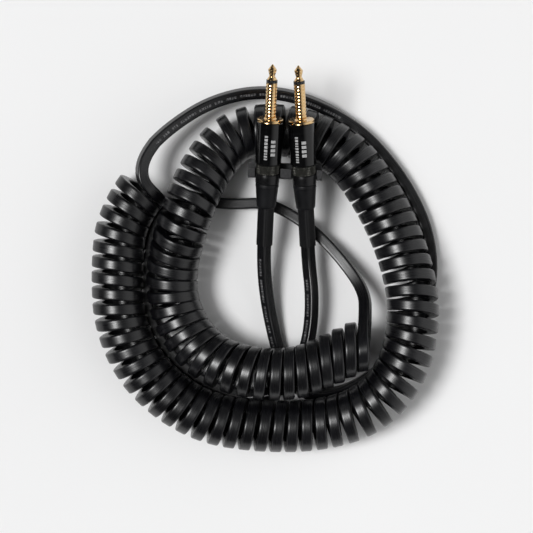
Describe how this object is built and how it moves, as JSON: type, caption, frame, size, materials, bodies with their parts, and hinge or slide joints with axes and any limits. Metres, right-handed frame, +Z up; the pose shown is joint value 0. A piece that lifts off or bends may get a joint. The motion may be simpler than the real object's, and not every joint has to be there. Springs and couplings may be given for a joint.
{
  "type": "coiled instrument cable",
  "caption": "Curly black square cable wound into a double loop, with a straight gold-tipped mono plug on each end and a clip that holds the two plugs together.",
  "frame": {"origin": "under the middle of the whole cable, on the plane it lies on", "axes": "+X right, +Y towards the plug tips, +Z up"},
  "size_m": [0.202, 0.2212, 0.052],
  "materials": {
    "gold_plate": "polished gold plate",
    "insulator_black": "moulded black plastic",
    "bush_plastic": "natural insulating plastic",
    "lug_brass": "tinned brass",
    "clamp_brass": "nickel plated brass",
    "core_insulation": "white core insulation",
    "shield_copper": "twisted tinned copper",
    "liner_plastic": "smooth insulating tube",
    "shell_black": "gloss black lacquer with plain pale marks",
    "chuck_plastic": "moulded nylon",
    "nut_black": "black plated, knurled ring and smooth collar",
    "boot_rubber": "smooth black rubber",
    "sleeve_shrink": "shrunk black tubing",
    "cable_jacket": "satin black square jacket",
    "clip_plastic": "matte black moulding"
  },
  "bodies": {
    "cable": {"coiled_section": "cable_jacket", "lead_a": "cable_jacket", "lead_b": "cable_jacket", "left_tip_contact": "gold_plate", "left_tip_insulator": "insulator_black", "left_sleeve_body": "gold_plate", "left_rear_bush": "bush_plastic", "left_tip_lug": "lug_brass", "left_ground_clamp": "clamp_brass", "left_core_wire": "core_insulation", "left_shield_tail": "shield_copper", "left_cable_sleeve": "sleeve_shrink", "left_cable_end": "cable_jacket", "right_tip_contact": "gold_plate", "right_tip_insulator": "insulator_black", "right_sleeve_body": "gold_plate", "right_rear_bush": "bush_plastic", "right_tip_lug": "lug_brass", "right_ground_clamp": "clamp_brass", "right_core_wire": "core_insulation", "right_shield_tail": "shield_copper", "right_cable_sleeve": "sleeve_shrink", "right_cable_end": "cable_jacket"},
    "left_liner": {"left_liner": "liner_plastic"},
    "left_shell": {"left_shell": "shell_black"},
    "left_boot": {"left_boot": "boot_rubber", "left_chuck": "chuck_plastic"},
    "left_nut": {"left_gland_nut": "nut_black"},
    "right_liner": {"right_liner": "liner_plastic"},
    "right_shell": {"right_shell": "shell_black"},
    "right_boot": {"right_boot": "boot_rubber", "right_chuck": "chuck_plastic"},
    "right_nut": {"right_gland_nut": "nut_black"},
    "clip": {"plug_clip": "clip_plastic"}
  },
  "joints": [
    {"name": "left_shell_travel", "type": "slide", "parent": "cable", "child": "left_liner", "axis": [-0.0449, -0.9529, -0.3], "range_m": [0, 0.0024]},
    {"name": "left_shell_turn", "type": "hinge", "parent": "left_liner", "child": "left_shell", "pos_m": [0.0027, 0.0813, 0.0412], "axis": [-0.0449, -0.9529, -0.3], "range_deg": [0, 864]},
    {"name": "left_boot_travel", "type": "slide", "parent": "left_shell", "child": "left_boot", "axis": [-0.0449, -0.9529, -0.3], "range_m": [0, 0.003]},
    {"name": "left_nut_turn", "type": "hinge", "parent": "left_boot", "child": "left_nut", "pos_m": [0.0027, 0.0813, 0.0412], "axis": [-0.0449, -0.9529, -0.3], "range_deg": [0, 1080]},
    {"name": "right_shell_travel", "type": "slide", "parent": "cable", "child": "right_liner", "axis": [0.0566, -0.9523, -0.3], "range_m": [0, 0.0024]},
    {"name": "right_shell_turn", "type": "hinge", "parent": "right_liner", "child": "right_shell", "pos_m": [0.0202, 0.0807, 0.0412], "axis": [0.0566, -0.9523, -0.3], "range_deg": [0, 864]},
    {"name": "right_boot_travel", "type": "slide", "parent": "right_shell", "child": "right_boot", "axis": [0.0566, -0.9523, -0.3], "range_m": [0, 0.003]},
    {"name": "right_nut_turn", "type": "hinge", "parent": "right_boot", "child": "right_nut", "pos_m": [0.0202, 0.0807, 0.0412], "axis": [0.0566, -0.9523, -0.3], "range_deg": [0, 1080]},
    {"name": "clip_release", "type": "slide", "parent": "cable", "child": "clip", "axis": [0, -0.3, -0.9539], "range_m": [0, 0.012]}
  ],
  "couplings": [
    {"joint": "left_shell_turn", "follows": "left_shell_travel", "rad_per_m": 6283.2},
    {"joint": "left_nut_turn", "follows": "left_boot_travel", "rad_per_m": 6283.2},
    {"joint": "right_shell_turn", "follows": "right_shell_travel", "rad_per_m": 6283.2},
    {"joint": "right_nut_turn", "follows": "right_boot_travel", "rad_per_m": 6283.2}
  ]
}
